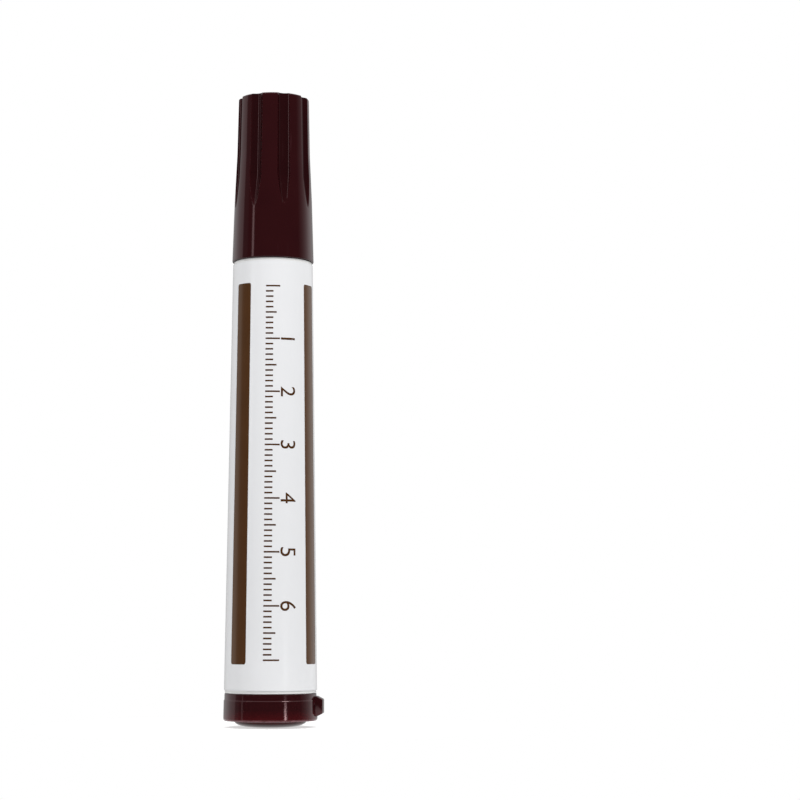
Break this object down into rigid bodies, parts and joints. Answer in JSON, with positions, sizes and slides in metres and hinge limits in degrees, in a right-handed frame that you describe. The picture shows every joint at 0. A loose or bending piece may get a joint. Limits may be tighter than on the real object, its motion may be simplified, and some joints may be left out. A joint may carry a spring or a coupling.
{
  "type": "furniture touch-up pen",
  "caption": "Capped stain marker for touching up wood furniture: fluted push-on cap, tapered white barrel with a printed film, plugged tail with an anti-roll lug, spring valve behind the nib.",
  "frame": {"origin": "centre of the flat foot that the pen stands on", "axes": "+Z along the pen from the tail towards the cap, -Y out of the printed front of the barrel, +X to the right of it"},
  "size_m": [0.0188, 0.0176, 0.12],
  "materials": {
    "mahogany_plastic": "gloss",
    "white_plastic": "satin",
    "label_film": "satin",
    "natural_plastic": "satin",
    "seal_rubber": "matte",
    "spring_steel": "satin",
    "ball_steel": "polished",
    "nib_fibre": "matte"
  },
  "bodies": {
    "barrel_body": {"barrel": "white_plastic", "barrel_label": "label_film", "tail_plug": "mahogany_plastic", "nose_piece": "white_plastic", "valve_gasket": "seal_rubber", "valve_cage": "natural_plastic", "valve_spring": "spring_steel"},
    "cap_body": {"cap_shell": "mahogany_plastic", "cap_liner": "natural_plastic"},
    "nib_body": {"nib": "nib_fibre", "valve_stem": "natural_plastic"},
    "ball_body": {"mixing_ball": "ball_steel"}
  },
  "joints": [
    {"name": "cap_pull", "type": "slide", "parent": "barrel_body", "child": "cap_body", "axis": [0, 0, 1], "range_m": [0, 0.045]},
    {"name": "nib_press", "type": "slide", "parent": "barrel_body", "child": "nib_body", "axis": [0, 0, -1], "range_m": [0, 0.0018], "stiffness_N_per_m": 600, "springref_m": -0.0015, "deforming": ["valve_spring"]},
    {"name": "ball_travel", "type": "slide", "parent": "barrel_body", "child": "ball_body", "axis": [0, 0, 1], "range_m": [0, 0.0678]}
  ]
}
